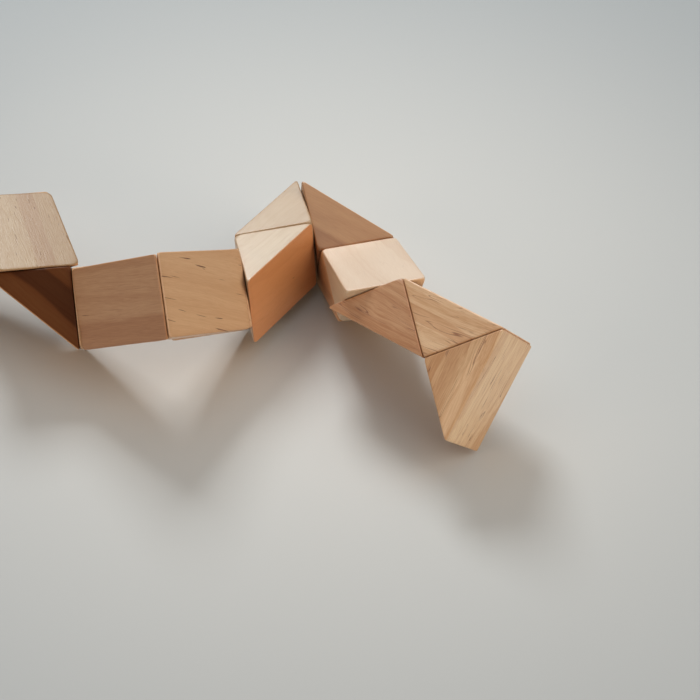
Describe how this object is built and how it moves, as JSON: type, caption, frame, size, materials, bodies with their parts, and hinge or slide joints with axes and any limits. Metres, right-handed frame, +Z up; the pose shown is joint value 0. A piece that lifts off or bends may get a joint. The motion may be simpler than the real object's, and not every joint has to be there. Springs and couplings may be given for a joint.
{
  "type": "snake puzzle",
  "caption": "Twisting snake puzzle: a chain of wooden triangular wedges strung on an elastic cord, each turning on the next about the centre of its square face, laid out in a loose zigzag.",
  "frame": {"origin": "on the table, under the middle of the bounding box of the laid-out chain", "axes": "+Z up from the table; +X along the long way of the zigzag, from the tail wedge to the head wedge; +Y away from the viewer's side"},
  "size_m": [0.2898, 0.1588, 0.0563],
  "materials": {
    "wedge_wood": "pale beech, sanded smooth, thin satin oil",
    "plug_wood": "end grain of a beech dowel, sanded flush",
    "elastic_cord": "white woven sleeve over a rubber core"
  },
  "bodies": {
    "wedge_01": {"wedge_01": "wedge_wood", "cord_length_01": "elastic_cord", "head_knot": "elastic_cord", "head_plug": "plug_wood"},
    "wedge_02": {"wedge_02": "wedge_wood", "cord_length_02": "elastic_cord"},
    "wedge_03": {"wedge_03": "wedge_wood", "cord_length_03": "elastic_cord"},
    "wedge_04": {"wedge_04": "wedge_wood", "cord_length_04": "elastic_cord"},
    "wedge_05": {"wedge_05": "wedge_wood", "cord_length_05": "elastic_cord"},
    "wedge_06": {"wedge_06": "wedge_wood", "cord_length_06": "elastic_cord"},
    "wedge_07": {"wedge_07": "wedge_wood", "cord_length_07": "elastic_cord"},
    "wedge_08": {"wedge_08": "wedge_wood", "cord_length_08": "elastic_cord"},
    "wedge_09": {"wedge_09": "wedge_wood", "cord_length_09": "elastic_cord"},
    "wedge_10": {"wedge_10": "wedge_wood", "cord_length_10": "elastic_cord"},
    "wedge_11": {"wedge_11": "wedge_wood", "cord_length_11": "elastic_cord"},
    "wedge_12": {"wedge_12": "wedge_wood", "cord_length_12": "elastic_cord"},
    "wedge_13": {"wedge_13": "wedge_wood", "cord_length_13": "elastic_cord"},
    "wedge_14": {"wedge_14": "wedge_wood", "cord_length_14": "elastic_cord"},
    "wedge_15": {"wedge_15": "wedge_wood", "cord_length_15": "elastic_cord"},
    "wedge_16": {"wedge_16": "wedge_wood", "cord_length_16": "elastic_cord"},
    "wedge_17": {"wedge_17": "wedge_wood", "cord_length_17": "elastic_cord"},
    "wedge_18": {"wedge_18": "wedge_wood", "cord_length_18": "elastic_cord"},
    "wedge_19": {"wedge_19": "wedge_wood", "cord_length_19": "elastic_cord"},
    "wedge_20": {"wedge_20": "wedge_wood", "cord_length_20": "elastic_cord"},
    "wedge_21": {"wedge_21": "wedge_wood", "cord_length_21": "elastic_cord"},
    "wedge_22": {"wedge_22": "wedge_wood", "cord_length_22": "elastic_cord"},
    "wedge_23": {"wedge_23": "wedge_wood", "cord_length_23": "elastic_cord"},
    "wedge_24": {"wedge_24": "wedge_wood", "cord_length_24": "elastic_cord", "tail_knot": "elastic_cord", "tail_plug": "plug_wood"}
  },
  "joints": [
    {"name": "turn_01_02", "type": "hinge", "parent": "wedge_02", "child": "wedge_01", "pos_m": [0.12895, -0.05235, 0.02677], "axis": [-0.2307, 0.8809, 0.4132], "continuous": true},
    {"name": "turn_02_03", "type": "hinge", "parent": "wedge_03", "child": "wedge_02", "pos_m": [0.1153, -0.04099, 0.02542], "axis": [0.8533, -0.0208, 0.5209], "range_deg": [-6, 12]},
    {"name": "turn_03_04", "type": "hinge", "parent": "wedge_04", "child": "wedge_03", "pos_m": [0.10164, -0.02962, 0.02406], "axis": [-0.2307, 0.8809, 0.4132], "continuous": true},
    {"name": "turn_04_05", "type": "hinge", "parent": "wedge_05", "child": "wedge_04", "pos_m": [0.09781, -0.01338, 0.0178], "axis": [0.0727, -0.4079, 0.9101], "range_deg": [-6, 12]},
    {"name": "turn_05_06", "type": "hinge", "parent": "wedge_06", "child": "wedge_05", "pos_m": [0.09399, 0.00285, 0.01154], "axis": [0.2307, -0.8809, -0.4132], "range_deg": [-4, 13]},
    {"name": "turn_06_07", "type": "hinge", "parent": "wedge_07", "child": "wedge_06", "pos_m": [0.07883, 0.01111, 0.01596], "axis": [0.9722, 0.2256, 0.0618], "continuous": true},
    {"name": "turn_07_08", "type": "hinge", "parent": "wedge_08", "child": "wedge_07", "pos_m": [0.06933, -0.00395, 0.01662], "axis": [0.2177, -0.9694, 0.1137], "range_deg": [-5, 4]},
    {"name": "turn_08_09", "type": "hinge", "parent": "wedge_09", "child": "wedge_08", "pos_m": [0.0598, -0.01898, 0.01749], "axis": [-0.9736, -0.2239, -0.0445], "continuous": true},
    {"name": "turn_09_10", "type": "hinge", "parent": "wedge_10", "child": "wedge_09", "pos_m": [0.04908, -0.03034, 0.02606], "axis": [-0.1227, 0.6776, -0.7251], "range_deg": [-2, 6]},
    {"name": "turn_10_11", "type": "hinge", "parent": "wedge_11", "child": "wedge_10", "pos_m": [0.03828, -0.04139, 0.03494], "axis": [0.9797, 0.1993, 0.0205], "continuous": true},
    {"name": "turn_11_12", "type": "hinge", "parent": "wedge_12", "child": "wedge_11", "pos_m": [0.02432, -0.03506, 0.02585], "axis": [0.1281, -0.7019, 0.7006], "range_deg": [-10, 2]},
    {"name": "turn_12_13", "type": "hinge", "parent": "wedge_13", "child": "wedge_12", "pos_m": [0.0103, -0.02842, 0.01708], "axis": [0.9845, 0.1754, -0.0044], "range_deg": [-4, 25]},
    {"name": "turn_13_14", "type": "hinge", "parent": "wedge_13", "child": "wedge_14", "pos_m": [-0.00361, -0.02194, 0.02613], "axis": [0.1198, -0.6903, -0.7135], "continuous": true},
    {"name": "turn_14_15", "type": "hinge", "parent": "wedge_14", "child": "wedge_15", "pos_m": [-0.01049, -0.00551, 0.02674], "axis": [-0.4261, 0.6134, -0.665], "range_deg": [-2, 27]},
    {"name": "turn_15_16", "type": "hinge", "parent": "wedge_15", "child": "wedge_16", "pos_m": [-0.0271, -0.00291, 0.02082], "axis": [-0.892, -0.4075, 0.1956], "range_deg": [-120, 100]},
    {"name": "turn_16_17", "type": "hinge", "parent": "wedge_16", "child": "wedge_17", "pos_m": [-0.04024, 0.00047, 0.03237], "axis": [-0.151, 0.6765, 0.7208], "continuous": true},
    {"name": "turn_17_18", "type": "hinge", "parent": "wedge_17", "child": "wedge_18", "pos_m": [-0.04751, 0.01673, 0.03307], "axis": [0.4261, -0.6134, 0.665], "continuous": true},
    {"name": "turn_18_19", "type": "hinge", "parent": "wedge_18", "child": "wedge_19", "pos_m": [-0.06412, 0.01932, 0.02716], "axis": [-0.892, -0.4075, 0.1956], "continuous": true},
    {"name": "turn_19_20", "type": "hinge", "parent": "wedge_19", "child": "wedge_20", "pos_m": [-0.08072, 0.02191, 0.02125], "axis": [-0.4261, 0.6134, -0.665], "continuous": true},
    {"name": "turn_20_21", "type": "hinge", "parent": "wedge_20", "child": "wedge_21", "pos_m": [-0.088, 0.03817, 0.02195], "axis": [0.151, -0.6765, -0.7208], "continuous": true},
    {"name": "turn_21_22", "type": "hinge", "parent": "wedge_21", "child": "wedge_22", "pos_m": [-0.09527, 0.05442, 0.02265], "axis": [-0.4261, 0.6134, -0.665], "continuous": true},
    {"name": "turn_22_23", "type": "hinge", "parent": "wedge_22", "child": "wedge_23", "pos_m": [-0.11188, 0.05701, 0.01674], "axis": [0.892, 0.4075, -0.1956], "continuous": true},
    {"name": "turn_23_24", "type": "hinge", "parent": "wedge_23", "child": "wedge_24", "pos_m": [-0.12502, 0.0604, 0.02828], "axis": [-0.151, 0.6765, 0.7208], "continuous": true}
  ]
}
